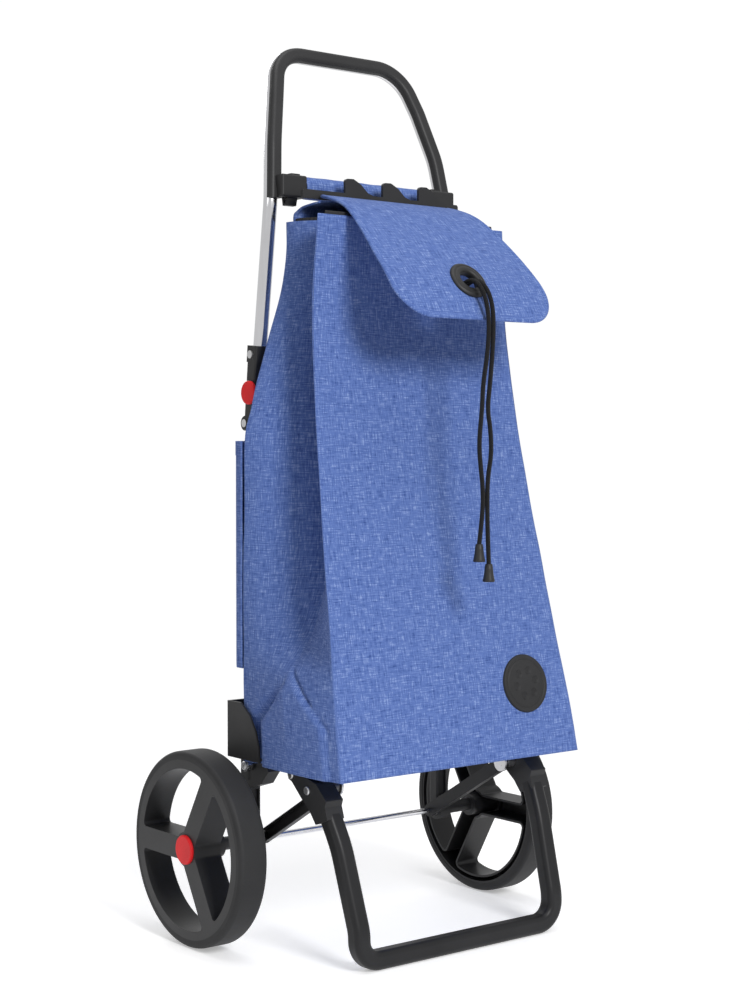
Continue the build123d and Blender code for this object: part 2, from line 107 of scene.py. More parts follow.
def make_floor():
    bpy.ops.mesh.primitive_circle_add(vertices=96, radius=9.0, fill_type="NGON", location=(0, 0, -0.0004))
    floor = bpy.context.object
    floor.name = "floor"
    mat = bpy.data.materials.new("floor")
    mat.use_nodes = True
    tree = mat.node_tree
    shader = tree.nodes["Principled BSDF"]
    shader.inputs["Base Color"].default_value = (0.90, 0.90, 0.91, 1)
    shader.inputs["Roughness"].default_value = 0.55
    shader.inputs["Emission Color"].default_value = (1.0, 1.0, 1.0, 1)
    shader.inputs["Emission Strength"].default_value = 0.36
    where = tree.nodes.new("ShaderNodeNewGeometry")
    length = tree.nodes.new("ShaderNodeVectorMath")
    length.operation = "LENGTH"
    tree.links.new(where.outputs["Position"], length.inputs[0])
    fade = tree.nodes.new("ShaderNodeMapRange")
    fade.interpolation_type = "SMOOTHSTEP"
    fade.inputs["From Min"].default_value = 0.65
    fade.inputs["From Max"].default_value = 2.1
    tree.links.new(length.outputs["Value"], fade.inputs["Value"])
    clear = tree.nodes.new("ShaderNodeBsdfTransparent")
    mix = tree.nodes.new("ShaderNodeMixShader")
    tree.links.new(fade.outputs["Result"], mix.inputs["Fac"])
    tree.links.new(shader.outputs["BSDF"], mix.inputs[1])
    tree.links.new(clear.outputs["BSDF"], mix.inputs[2])
    tree.links.new(mix.outputs["Shader"], tree.nodes["Material Output"].inputs["Surface"])
    floor.data.materials.append(mat)


make_camera()
make_world()
make_floor()
area_light("key", (-0.42, -2.9, 2.0), (0, 0, 0.6), (0.9, 0.9), 76)
area_light("top", (-0.1, -0.5, 3.0), (0, 0, 0.6), (1.6, 1.6), 22)
area_light("fill", (-2.6, -0.5, 1.6), (0, 0, 0.5), (0.8, 0.8), 3.5)
area_light("rim_light", (0.4, 2.6, 2.2), (0, 0, 0.6), (1.6, 1.6), 24)


# ---- materials ----
class Nodes:
    """Small helper to wire a material's node tree."""

    def __init__(self, name):
        self.mat = bpy.data.materials.new(name)
        self.mat.use_nodes = True
        self.tree = self.mat.node_tree
        self.shader = self.tree.nodes["Principled BSDF"]

    def new(self, kind, **values):
        node = self.tree.nodes.new(kind)
        for key, value in values.items():
            if hasattr(node, key):
                setattr(node, key, value)
            else:
                node.inputs[key.replace("_", " ")].default_value = value
        return node

    def link(self, out, into):
        self.tree.links.new(out, into)

    def coords(self, kind, scale):
        """Texture coordinates of the given kind, scaled per axis."""
        source = self.new("ShaderNodeTexCoord")
        mapping = self.new("ShaderNodeMapping")
        mapping.inputs["Scale"].default_value = scale
        self.link(source.outputs[kind], mapping.inputs["Vector"])
        return mapping.outputs["Vector"]

    def noise(self, vector, scale, detail=2.0, rough=0.5):
        node = self.new("ShaderNodeTexNoise")
        node.inputs["Scale"].default_value = scale
        node.inputs["Detail"].default_value = detail
        node.inputs["Roughness"].default_value = rough
        self.link(vector, node.inputs["Vector"])
        return node.outputs["Fac"]

    def math(self, operation, a, b):
        node = self.new("ShaderNodeMath")
        node.operation = operation
        for i, value in enumerate((a, b)):
            if isinstance(value, (int, float)):
                node.inputs[i].default_value = value
            else:
                self.link(value, node.inputs[i])
        return node.outputs["Value"]

    def ramp(self, factor, stops):
        node = self.new("ShaderNodeValToRGB")
        elements = node.color_ramp.elements
        while len(elements) < len(stops):
            elements.new(0.5)
        for element, (place, color) in zip(elements, stops):
            element.position = place
            element.color = (*color, 1)
        self.link(factor, node.inputs["Fac"])
        return node.outputs["Color"]

    def range(self, factor, low, high):
        node = self.new("ShaderNodeMapRange")
        node.inputs["To Min"].default_value = low
        node.inputs["To Max"].default_value = high
        self.link(factor, node.inputs["Value"])
        return node.outputs["Result"]

    def bump(self, height, strength, distance):
        node = self.new("ShaderNodeBump")
        node.inputs["Strength"].default_value = strength
        node.inputs["Distance"].default_value = distance
        self.link(height, node.inputs["Height"])
        self.link(node.outputs["Normal"], self.shader.inputs["Normal"])

    def set(self, **values):
        for key, value in values.items():
            self.shader.inputs[key.replace("_", " ")].default_value = value


def melange(name, dark, mid, light, sheen):
    """Woven cloth of mixed threads: pale and dark flecks along both thread directions, over UVs in metres."""
    n = Nodes(name)
    across = n.noise(n.coords("UV", (64, 760, 1)), 1.0, 4.0, 0.7)
    along = n.noise(n.coords("UV", (760, 64, 1)), 1.0, 4.0, 0.7)
    patches = n.noise(n.coords("UV", (150, 150, 1)), 1.0, 3.0, 0.6)
    threads = n.math("ADD", n.math("MULTIPLY", across, 0.46), n.math("MULTIPLY", along, 0.46))
    mixed = n.math("ADD", threads, n.math("MULTIPLY", patches, 0.08))
    color = n.ramp(mixed, [(0.41, dark), (0.48, mid), (0.52, mid), (0.61, light)])
    n.link(color, n.shader.inputs["Base Color"])
    weft = n.new("ShaderNodeTexWave", bands_direction="Y")
    warp = n.new("ShaderNodeTexWave", bands_direction="X")
    for wave in (weft, warp):
        wave.inputs["Scale"].default_value = 1.0
        wave.inputs["Distortion"].default_value = 1.2
        n.link(n.coords("UV", (330, 330, 1)), wave.inputs["Vector"])
    weave = n.math("MULTIPLY", weft.outputs["Fac"], warp.outputs["Fac"])
    n.bump(n.math("ADD", weave, mixed), 0.45, 0.0006)
    n.link(n.range(mixed, 0.92, 0.74), n.shader.inputs["Roughness"])
    n.set(Sheen_Weight=sheen, Sheen_Roughness=0.5, Specular_IOR_Level=0.2)
    return n.mat


def plastic(name, color, rough, grain, depth, shine=0.28):
    """Moulded plastic with a fine grain and faint gloss variation."""
    n = Nodes(name)
    position = n.coords("Object", (1, 1, 1))
    fine = n.noise(position, grain, 4.0, 0.6)
    broad = n.noise(position, 14.0, 3.0, 0.55)
    worn = n.math("ADD", n.math("MULTIPLY", fine, 0.3), n.math("MULTIPLY", broad, 0.7))
    low = tuple(c * 0.8 for c in color)
    high = tuple(min(1.0, c * 1.25 + 0.002) for c in color)
    n.link(n.ramp(worn, [(0.3, low), (0.7, high)]), n.shader.inputs["Base Color"])
    n.link(n.range(worn, rough + 0.08, rough - 0.08), n.shader.inputs["Roughness"])
    n.bump(fine, 0.3, depth)
    n.set(Specular_IOR_Level=shine)
    return n.mat


def metal(name, color, rough, stretch):
    """Bright metal with drawn lines and slight smudges."""
    n = Nodes(name)
    lines = n.noise(n.coords("Object", stretch), 1.0, 4.0, 0.6)
    smudge = n.noise(n.coords("Object", (1, 1, 1)), 22.0, 3.0, 0.6)
    both = n.math("ADD", n.math("MULTIPLY", lines, 0.6), n.math("MULTIPLY", smudge, 0.4))
    low = tuple(c * 0.9 for c in color)
    n.link(n.ramp(both, [(0.3, low), (0.65, color)]), n.shader.inputs["Base Color"])
    n.link(n.range(both, rough * 0.6, rough * 1.4), n.shader.inputs["Roughness"])
    n.bump(lines, 0.04, 0.0002)
    n.set(Metallic=1.0)
    return n.mat


def braid(name):
    """Braided black cord: crossing diagonal strands round and along the curve."""
    n = Nodes(name)
    vector = n.coords("UV", (1, 1, 1))
    left = n.new("ShaderNodeTexWave", bands_direction="DIAGONAL")
    right = n.new("ShaderNodeTexWave", bands_direction="DIAGONAL")
    n.link(n.coords("UV", (130, 6, 1)), left.inputs["Vector"])
    n.link(n.coords("UV", (130, -6, 1)), right.inputs["Vector"])
    strands = n.math("MAXIMUM", left.outputs["Fac"], right.outputs["Fac"])
    color = n.ramp(strands, [(0.25, (0.002, 0.002, 0.003)), (0.9, (0.016, 0.016, 0.018))])
    n.link(color, n.shader.inputs["Base Color"])
    fuzz = n.noise(vector, 260.0, 3.0, 0.6)
    n.bump(n.math("ADD", strands, n.math("MULTIPLY", fuzz, 0.3)), 0.7, 0.0007)
    n.link(n.range(fuzz, 0.7, 0.95), n.shader.inputs["Roughness"])
    n.set(Sheen_Weight=0.04, Specular_IOR_Level=0.15)
    return n.mat


def lining_cloth(name):
    n = Nodes(name)
    weave = n.noise(n.coords("Object", (500, 500, 500)), 1.0, 3.0, 0.6)
    color = n.ramp(weave, [(0.3, (0.006, 0.006, 0.007)), (0.7, (0.02, 0.02, 0.022))])
    n.link(color, n.shader.inputs["Base Color"])
    n.bump(weave, 0.4, 0.0004)
    n.link(n.range(weave, 0.75, 0.95), n.shader.inputs["Roughness"])
    return n.mat


BLUE = melange("blue_cloth", (0.036, 0.074, 0.25), (0.088, 0.152, 0.405), (0.26, 0.35, 0.62), 0.05)
BINDING = melange("blue_binding", (0.034, 0.072, 0.26), (0.074, 0.138, 0.39), (0.18, 0.27, 0.52), 0.05)
LINING = lining_cloth("black_lining")
BRAID = braid("black_braid")
BLACK = plastic("black_plastic", (0.019, 0.019, 0.020), 0.46, 900.0, 0.00012)
RIM_BLACK = plastic("rim_plastic", (0.016, 0.016, 0.017), 0.40, 700.0, 0.0001)
TYRE = plastic("tyre_rubber", (0.017, 0.017, 0.018), 0.62, 1100.0, 0.0002)
RED = plastic("red_plastic", (0.68, 0.014, 0.018), 0.40, 900.0, 0.00008, 0.2)
ENAMEL = plastic("black_enamel", (0.010, 0.010, 0.011), 0.42, 1500.0, 0.00015, 0.25)
NYLON = plastic("nylon", (0.03, 0.03, 0.032), 0.4, 600.0, 0.0001)
BOARD = plastic("board", (0.04, 0.04, 0.045), 0.6, 400.0, 0.0002)
CHROME = metal("chrome", (0.74, 0.74, 0.76), 0.15, (120, 120, 3))
STEEL = metal("zinc_steel", (0.62, 0.62, 0.63), 0.30, (300, 300, 300))

SLOT_LOOKS = {
    "black_plastic": BLACK, "tyre_rubber": TYRE, "red_plastic": RED, "chrome_tube": CHROME, "steel": STEEL,
    "black_enamel": ENAMEL, "nylon": NYLON, "blue_fabric": BLUE, "black_fabric": LINING, "board": BOARD,
}


def dress_cad_nodes():
    for part in frame["record"]["subparts"]:
        node = NODES[part["node"]]
        look = SLOT_LOOKS[part["material_slot"]]
        if part["node"].startswith("rim_"):
            look = RIM_BLACK
        node.data.materials.clear()
        node.data.materials.append(look)
        for polygon in node.data.polygons:
            polygon.material_index = 0


dress_cad_nodes()


# ---- mesh helpers ----
def make_piece(name, points, faces, uvs, material, body):
    """Mesh piece from points, faces and one UV per point; it rides its body and takes the given material."""
    mesh = bpy.data.meshes.new(name)
    mesh.from_pydata([tuple(p) for p in points], [], faces)
    mesh.update()
    layer = mesh.uv_layers.new(name="UVMap")
    for loop in mesh.loops:
        layer.data[loop.index].uv = uvs[loop.vertex_index]
    piece = bpy.data.objects.new(name, mesh)
    bpy.context.scene.collection.objects.link(piece)
    mesh.materials.append(material)
    for polygon in mesh.polygons:
        polygon.use_smooth = True
    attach(piece, body)
    return piece


def grid_faces(rows, columns, closed=False, start=0):
    """Quads over a grid of points numbered row by row."""
    faces = []
    last = columns if closed else columns - 1
    for r in range(rows - 1):
        for c in range(last):
            d = (c + 1) % columns
            faces.append((start + r * columns + c, start + r * columns + d,
                          start + (r + 1) * columns + d, start + (r + 1) * columns + c))
    return faces


def solidify(piece, thickness, offset=-1.0, inner=None):
    mod = piece.modifiers.new("thickness", "SOLIDIFY")
    mod.thickness = thickness
    mod.offset = offset
    mod.use_even_offset = False
    if inner is not None:
        piece.data.materials.append(inner)
        mod.material_offset = 1
        mod.material_offset_rim = 0


def smoothstep(x, low, high):
    t = min(1.0, max(0.0, (x - low) / (high - low)))
    return t * t * (3 - 2 * t)


def table(x, pairs):
    """Smooth interpolation in a short list of (x, value) pairs."""
    xs = [p[0] for p in pairs]
    ys = [p[1] for p in pairs]
    if x <= xs[0]:
        return ys[0]
    for i in range(len(xs) - 1):
        if x <= xs[i + 1]:
            t = (x - xs[i]) / (xs[i + 1] - xs[i])
            before = (ys[i] - ys[i - 1]) / (xs[i] - xs[i - 1]) if i else (ys[1] - ys[0]) / (xs[1] - xs[0])
            here = (ys[i + 1] - ys[i]) / (xs[i + 1] - xs[i])
            after = (ys[i + 2] - ys[i + 1]) / (xs[i + 2] - xs[i + 1]) if i + 2 < len(xs) else here
            m0, m1 = (before + here) / 2 * (xs[i + 1] - xs[i]), (here + after) / 2 * (xs[i + 1] - xs[i])
            a, b = ys[i], ys[i + 1]
            low = (2 * t**3 - 3 * t**2 + 1) * a + (t**3 - 2 * t**2 + t) * m0
            return low + (3 * t**2 - 2 * t**3) * b + (t**3 - t**2) * m1
    return ys[-1]


# ---- bag ----
# Each table lists (height, value): half widths, the front's Y, and the side pleat's depth and place.
FRONT_HALF = [(207, 174.7), (278, 170), (356, 165), (440, 160.5), (525, 154.4), (612, 149.5),
              (721, 144), (816, 138)]
FRONT_Y = [(207, -149.5), (278, -135), (356, -118.5), (440, -100.5), (525, -82.7), (612, -67),
           (721, -55), (816, -58)]
REAR_HALF = [(207, 174), (500, 173), (580, 172), (602, 165), (630, 157), (659, 147), (690, 137),
             (727, 125), (750, 119), (785, 114), (816, 114.5)]
PLEAT_DEPTH = [(207, 0), (314, 0), (324, 8), (336, 20), (360, 38), (400, 56), (450, 68), (520, 76), (620, 84),
               (700, 76), (760, 62), (816, 50)]
PLEAT_PLACE = [(207, 0.46), (322, 0.46), (400, 0.49), (520, 0.48), (620, 0.44), (816, 0.42)]
REAR_Y = 33.0
BAG_LOW = 207.0
BAG_HIGH = 816.0
FOLD_TOP = 322.0
REAR_FOLD_TOP = 302.0


def side_point(t, z, sign):
    """Point on a side gusset: t runs from the front corner to the rear corner."""
    fx, fy = table(z, FRONT_HALF), table(z, FRONT_Y)
    rx = table(z, REAR_HALF)
    depth, place = table(z, PLEAT_DEPTH), table(z, PLEAT_PLACE)
    x = fx + (rx - fx) * t
    y = fy + (REAR_Y - fy) * t
    if t < place:
        share = t / place
        shape = share ** 0.92
    else:
        share = (1 - t) / (1 - place)
        shape = 0.45 * share ** 2.6 + 0.55 * share ** 1.35
    x -= depth * shape
    bulge = 5.0 * math.sin(math.pi * t) * (1 - smoothstep(z, 300, 520))
    fold = gift_fold(t, z)
    return sign * (x + bulge * 0.5 + fold), y


def gift_fold(t, z):
    """Wrapped triangle low on the gusset: a soft front crease, and a crisp rear edge before a hollow."""
    if z > FOLD_TOP:
        return 0.0
    down, low = FOLD_TOP - z, max(0.0, REAR_FOLD_TOP - z)
    front_edge = 0.46 - 0.0061 * min(down, 60)
    rear_edge = 0.47 + 0.0067 * min(low, 45)
    behind = smoothstep(t, front_edge - 0.01, front_edge + 0.05)
    inside = behind * (1 - smoothstep(t, rear_edge, rear_edge + 0.02))
    raised = 4.2 * inside * smoothstep(down, 4, 26)
    hollow = -9.0 * math.exp(-(((t - rear_edge - 0.06) / 0.055) ** 2)) * smoothstep(low, 2, 22)
    shown = smoothstep(down, 0, 8) * (1 - smoothstep(down, 34, 44))
    shown += 0.7 * math.exp(-(((down - 58) / 7) ** 2))
    groove = -4.4 * math.exp(-(((t - front_edge) / 0.016) ** 2)) * shown
    return raised + hollow + groove


def bag_ring(z):
    """Closed outline of the bag at height z, from the left front corner round by the right; millimetres."""
    fx, fy = table(z, FRONT_HALF), table(z, FRONT_Y)
    rx = table(z, REAR_HALF)
    ring, us = [], []
    fronts, sides, rears = 88, 130, 70
    for i in range(fronts):
        s = i / fronts * 2 - 1
        crown = 3.0 * (1 - s * s) * math.sin(math.pi * (z - BAG_LOW) / (BAG_HIGH - BAG_LOW))
        ring.append((s * fx, fy - crown))
        us.append(s * fx)
    for i in range(sides):
        ring.append(side_point(i / sides, z, 1))
        us.append(200 + i / sides * 190)
    for i in range(rears):
        s = 1 - i / rears * 2
        ring.append((s * rx, REAR_Y))
        us.append(420 + (1 - s) * rx)
    for i in range(sides):
        ring.append(side_point(1 - i / sides, z, -1))
        us.append(800 + i / sides * 190)
    return ring, us


def soften(ring, passes):
    """Rounds a closed ring's corners."""
    pts = np.array(ring)
    for _ in range(passes):
        pts = (np.roll(pts, 1, 0) + 2 * pts + np.roll(pts, -1, 0)) / 4
    return pts


def wrinkle(x, y, z):
    """Broad cloth unevenness in millimetres; it repeats exactly."""
    broad = noise.noise(Vector((x * 0.011, y * 0.011, z * 0.006)))
    fine = noise.noise(Vector((x * 0.03 + 7, y * 0.03, z * 0.017)))
    return 1.9 * broad + 0.7 * fine


def make_bag():
    heights = [BAG_LOW + (BAG_HIGH - BAG_LOW) * i / 203 for i in range(204)]
    points, uvs = [], []
    centre_y = -40.0
    for z in heights:
        ring, us = bag_ring(z)
        ring = soften(ring, 2)
        edge = smoothstep(z, BAG_LOW, BAG_LOW + 30)
        for (x, y), u in zip(ring, us):
            d = wrinkle(x, y, z) * edge
            away = Vector((x * 0.6, y - centre_y, 0)).normalized()
            lift = 0.0
            if z < BAG_LOW + 2:
                lift = 0.6
            points.append(Vector((x + away.x * d, min(y + away.y * d, 33.6), z + lift)) * MM)
            uvs.append((u * MM, z * MM))
    columns = len(ring)
    faces = grid_faces(len(heights), columns, closed=True)
    base = len(points)
    rings = 12
    for k in range(1, rings + 1):
        scale = 1 - k / rings
        for c in range(columns):
            p = points[c]
            points.append(Vector((p.x * scale, (p.y + 0.055) * scale - 0.055, p.z)))
            uvs.append((points[-1].x, points[-1].y))
    inner = [list(range(columns))]
    inner += [[base + k * columns + c for c in range(columns)] for k in range(rings)]
    for a, b in zip(inner, inner[1:]):
        for c in range(columns):
            d = (c + 1) % columns
            faces.append((a[d], a[c], b[c], b[d]))
    bag = make_piece("bag_cloth", points, faces, uvs, BLUE, "chassis")
    solidify(bag, 0.0012, -1.0, LINING)
    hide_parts("bag_body")
    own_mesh(bag)


def make_lining():
    """Gathered black collar inside the mouth, with a drawn channel along its top edge."""
    points, uvs = [], []
    heights = [772, 780, 788, 796, 803, 808, 811, 814, 817, 819, 820.5]
    for z in heights:
        ring, us = bag_ring(min(z, BAG_HIGH))
        ring = soften(ring, 3)
        channel = 0.8 * math.sin(math.pi * max(0.0, min(1.0, (z - 806) / 13)))
        for i, ((x, y), u) in enumerate(zip(ring, us)):
            pull = 0.925 - 0.02 * smoothstep(z, 800, 821)
            ripple = 0.6 * math.sin(i * 0.9) * smoothstep(z, 780, 818)
            cx, cy = x * pull, -14 + (y + 14) * pull
            away = Vector((cx, cy + 14, 0)).normalized()
            out = ripple + channel
            points.append(Vector((cx + away.x * out, cy + away.y * out, z)) * MM)
            uvs.append((u * MM, z * MM))
    faces = grid_faces(len(heights), len(ring), closed=True)
    lining = make_piece("bag_lining", points, faces, uvs, LINING, "chassis")
    solidify(lining, 0.0011)
    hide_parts("bag_collar")


def make_pocket():
    """Rear pocket panel: rounded side turns, a doubled hem along the open top, and its bottom edge."""
    half, front, back = 173.0, 34.2, 48.5
    outline = [(-half, front), (-half, 38.0), (-half, 43.0), (-half + 0.8, 46.5), (-half + 3.5, back)]
    outline += [(-half + 3.5 + (half - 3.5) * 2 * i / 60, back) for i in range(1, 60)]
    outline += [(half - 3.5, back), (half - 0.8, 46.5), (half, 43.0), (half, 38.0), (half, front)]
    heights = [312.6 + i * 4.0 for i in range(60)] + [551.4, 552.0, 553.0, 557, 561, 565, 567.6]
    points, uvs = [], []
    for z in heights:
        for x, y in outline:
            hem = 0.9 if z > 551.5 else 0.0
            sag = 1.2 * wrinkle(x, y + 200, z * 1.3) * (1 - abs(x) / half) ** 0.5 if abs(x) < half else 0.0
            points.append(Vector((x, y + (hem + sag * 0.6 if y > 46 else 0), z)) * MM)
            uvs.append(((x + y) * MM, z * MM))
    columns = len(outline)
    faces = grid_faces(len(heights), columns)
    faces.append(tuple(range(columns))[::-1])
    pocket = make_piece("pocket_cloth", points, faces, uvs, BLUE, "chassis")
    solidify(pocket, 0.0011, -1.0)
    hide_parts("bag_pocket")


make_bag()
make_lining()
make_pocket()


# ---- flap ----
FLAP_LINE = [(-6.5, 843.4), (-25.0, 838.6), (-43.2, 832.0), (-60.0, 822.8), (-76.0, 810.8), (-98.0, 791.5),
             (-120.8, 768.8), (-134.0, 755.3), (-144.8, 742.6), (-158.0, 722.0), (-170.0, 699.4)]
FLAP_HALF = [(0, 96.5), (40, 98), (90, 105), (135, 111), (225, 116)]
FLAP_CENTRE = [(0, 2.5), (40, 3), (135, 6), (225, 8)]
FLAP_THICK = 3.4
EYELET_AT = Vector((0.005, -0.1460, 0.7440))
EYELET_OUT = Vector((0, -0.809, 0.588))
EYELET_HOLE = 0.0165
CORNER = 46.0
STITCH_IN = 7.0


def flap_curve():
    """Dense centreline of the flap: list of (arc length, y, z)."""
    dense = []
    for i in range(401):
        u = i / 400 * (len(FLAP_LINE) - 1)
        ys = table(u, [(j, p[0]) for j, p in enumerate(FLAP_LINE)])
        zs = table(u, [(j, p[1]) for j, p in enumerate(FLAP_LINE)])
        dense.append((ys, zs))
    out = [(0.0, *dense[0])]
    s = 0.0
    for a, b in zip(dense, dense[1:]):
        s += math.hypot(b[0] - a[0], b[1] - a[1])
        out.append((s, b[0], b[1]))
    return out


CURVE = flap_curve()
FLAP_LENGTH = CURVE[-1][0]


def flap_frame(s):
    """Centre point and outward normal of the flap at arc length s, in the side view."""
    s = min(max(s, 0.0), FLAP_LENGTH)
    i = min(int(np.searchsorted([c[0] for c in CURVE], s)), len(CURVE) - 1)
    i = max(i, 1)
    a, b = CURVE[i - 1], CURVE[i]
    t = (s - a[0]) / max(b[0] - a[0], 1e-9)
    dy, dz = b[1] - a[1], b[2] - a[2]
    size = math.hypot(dy, dz)
    return a[1] + dy * t, a[2] + dz * t, dz / size, -dy / size


def flap_half(s):
    """Half width of the flap at arc length s, with its rounded lower corners."""
    half = table(s, FLAP_HALF)
    over = s - (FLAP_LENGTH - CORNER)
    if over > 0:
        half -= CORNER - math.sqrt(max(0.0, CORNER**2 - over**2))
    return half


def edge_distance(x, s):
    """Distance from a point of the flat flap to its free edge."""
    half = table(s, FLAP_HALF)
    cx, cs = half - CORNER, FLAP_LENGTH - CORNER
    if abs(x) > cx and s > cs:
        return CORNER - math.hypot(abs(x) - cx, s - cs)
    return min(half - abs(x), FLAP_LENGTH - s)


def flap_point(x, s, side):
    """Point on the outer (side 1) or inner (side -1) surface of the flap."""
    y, z, ny, nz = flap_frame(s)
    d = max(0.0, edge_distance(x, s))
    roll = math.sqrt(max(0.0, 1 - (1 - min(d / 2.2, 1.0)) ** 2))
    half_thick = FLAP_THICK / 2 * roll
    half_thick -= 0.55 * math.exp(-(((d - STITCH_IN) / 0.8) ** 2))
    half_thick += 0.35 * math.exp(-(((d - 3.6) / 2.2) ** 2))
    wave = 1.0 * noise.noise(Vector((x * 0.018, s * 0.014, 3.0))) * smoothstep(s, 10, 60)
    drop = 2.2 * (abs(x) / 116.0) ** 3 * smoothstep(s, 30, 120)
    off = side * half_thick + wave - drop
    return Vector((x + table(s, FLAP_CENTRE), y + ny * off, z + nz * off)) * MM


def outside_eyelet(face, points):
    """True for a face of the flap that the eyelet's hole leaves in place."""
    centre = sum((points[i] for i in face), Vector((0, 0, 0))) / len(face)
    return (centre - EYELET_AT).length > EYELET_HOLE


def make_flap():
    rows = [FLAP_LENGTH * math.sin(i / 90 * math.pi / 2) ** 0.9 if i else 0.0 for i in range(91)]
    seam = [STITCH_IN + d for d in (1.6, 0.8, 0, -0.8)]
    extra = [FLAP_LENGTH - d for d in seam + [5, 3.6, 2.2, 1.2, 0.5]]
    rows = sorted(set(round(r, 3) for r in rows + extra))
    shares = [math.sin(i / 70 * math.pi / 2) for i in range(-70, 71)]
    points, uvs = [], []
    for side in (1, -1):
        for s in rows:
            half = flap_half(s)
            for k in shares:
                points.append(flap_point(k * half, s, side))
                uvs.append((k * half * MM, -s * MM))
    count, columns = len(rows), len(shares)
    top = grid_faces(count, columns)
    below = [tuple(reversed(f)) for f in grid_faces(count, columns, start=count * columns)]
    shift = count * columns
    faces = top + below
    for r in range(count - 1):
        for c, flip in ((0, False), (columns - 1, True)):
            a, b = r * columns + c, (r + 1) * columns + c
            quad = (a, b, b + shift, a + shift)
            faces.append(tuple(reversed(quad)) if flip else quad)
    for r, flip in ((0, True), (count - 1, False)):
        for c in range(columns - 1):
            a, b = r * columns + c, r * columns + c + 1
            quad = (a, b, b + shift, a + shift)
            faces.append(tuple(reversed(quad)) if flip else quad)
    faces = [f for f in faces if outside_eyelet(f, points)]
    flap = make_piece("flap_cloth", points, faces, uvs, BLUE, "flap")
    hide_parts("bag_flap")


def stitch_line(name, places, body):
    """Row of short raised stitches; places are (point, direction, normal)."""
    points, faces, uvs = [], [], []
    for point, direction, normal in places:
        side = direction.cross(normal)
        start = len(points)
        for a, r in ((-1.05, 0.0), (-0.8, 0.22), (0.0, 0.3), (0.8, 0.22), (1.05, 0.0)):
            for k in range(6):
                turn = k * math.pi / 3
                ring = side * math.cos(turn) + normal * math.sin(turn)
                points.append(point + (direction * a + ring * (r + 0.02)) * MM)
                uvs.append((0.0, 0.0))
        faces += grid_faces(5, 6, closed=True, start=start)
        faces.append(tuple(start + k for k in range(5, -1, -1)))
        faces.append(tuple(start + 24 + k for k in range(6)))
    return make_piece(name, points, faces, uvs, BINDING, body)


def flap_stitches():
    """Stitch places along the flap's free edge, a constant distance in."""
    path = []
    s = 8.0
    inset = STITCH_IN
    while s < FLAP_LENGTH - CORNER:
        path.append((-(table(s, FLAP_HALF) - inset), s))
        s += 3.4
    cs = FLAP_LENGTH - CORNER
    cx = table(cs + 20, FLAP_HALF) - CORNER
    turns = int((CORNER - inset) * math.pi / 2 / 3.4)
    for i in range(turns + 1):
        a = i / turns * math.pi / 2
        path.append((-(cx + (CORNER - inset) * math.cos(a)), cs + (CORNER - inset) * math.sin(a)))
    steps = int(cx / 3.4)
    for i in range(1, steps):
        path.append((-cx + cx * i / steps, FLAP_LENGTH - inset))
    path += [(0.0, FLAP_LENGTH - inset)] + [(-x, s) for x, s in path[::-1]]
    places = []
    for (xa, sa), (xb, sb) in zip(path, path[1:]):
        a, b = flap_point(xa, sa, 1), flap_point(xb, sb, 1)
        if (b - a).length < 1.5 * MM:
            continue
        _, _, ny, nz = flap_frame((sa + sb) / 2)
        normal = Vector((0, ny, nz))
        places.append(((a + b) / 2, (b - a).normalized(), normal))
    return places


def make_flap_root():
    """Strip of bag cloth that comes up over the back of the mouth, under the rail, to the flap."""
    line = [(30.4, 816.5), (30.6, 822), (29.6, 829), (26.5, 834.5), (20.0, 837.4), (8.0, 838.9),
            (-5.0, 839.6)]
    rows = 40
    points, uvs = [], []
    for i in range(rows):
        u = i / (rows - 1) * (len(line) - 1)
        y = table(u, [(j, p[0]) for j, p in enumerate(line)])
        z = table(u, [(j, p[1]) for j, p in enumerate(line)])
        for c in range(61):
            half = 107 - 10 * smoothstep(i, 6, 36)
            x = 2.0 + half * (c / 30 - 1)
            droop = 4.0 * smoothstep(abs(x), 84, 107) * smoothstep(i, 8, 20)
            points.append(Vector((x, y, z - droop + 0.5 * noise.noise(Vector((x * 0.03, i * 0.1, 0))))) * MM)
            uvs.append((x * MM, i * 0.0012))
    faces = [tuple(reversed(f)) for f in grid_faces(rows, 61)]
    root = make_piece("flap_root_cloth", points, faces, uvs, BLUE, "chassis")
    solidify(root, 0.0024, -1.0)
    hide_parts("flap_root")


make_flap()
stitch_line("flap_stitches", flap_stitches(), "flap")
make_flap_root()


# ---- eyelet, knot, badge ----
def lathe(name, profile, origin, axis, material, body, segments=96):
    """Closed surface of revolution: profile is a loop of (radius, height along axis) in millimetres."""
    axis = Vector(axis).normalized()
    side = axis.orthogonal().normalized()
    other = axis.cross(side)
    points, uvs = [], []
    for i in range(segments):
        turn = 2 * math.pi * i / segments
        out = side * math.cos(turn) + other * math.sin(turn)
        for r, h in profile:
            points.append(Vector(origin) + (out * r + axis * h) * MM)
            uvs.append((i * 0.001, h * 0.001))
    n = len(profile)
    faces = []
    for i in range(segments):
        j = (i + 1) % segments
        for k in range(n):
            m = (k + 1) % n
            faces.append((i * n + k, j * n + k, j * n + m, i * n + m))
    return make_piece(name, points, faces, uvs, material, body)


eyelet_profile = [
    (11.6, -5.0), (11.6, 0.5), (12.0, 2.2), (13.2, 3.3), (15.0, 3.7), (17.5, 3.6), (18.0, 3.25),
    (18.6, 3.25), (19.1, 3.5), (21.2, 3.0), (22.8, 2.0), (23.6, 0.9), (23.7, 0.0), (22.9, -1.4),
    (22.9, -3.6), (22.0, -4.6), (19.0, -5.2), (13.0, -5.4),
]
eyelet = lathe("eyelet_ring", eyelet_profile[::-1], EYELET_AT, EYELET_OUT, BLACK, "flap")
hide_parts("eyelet")


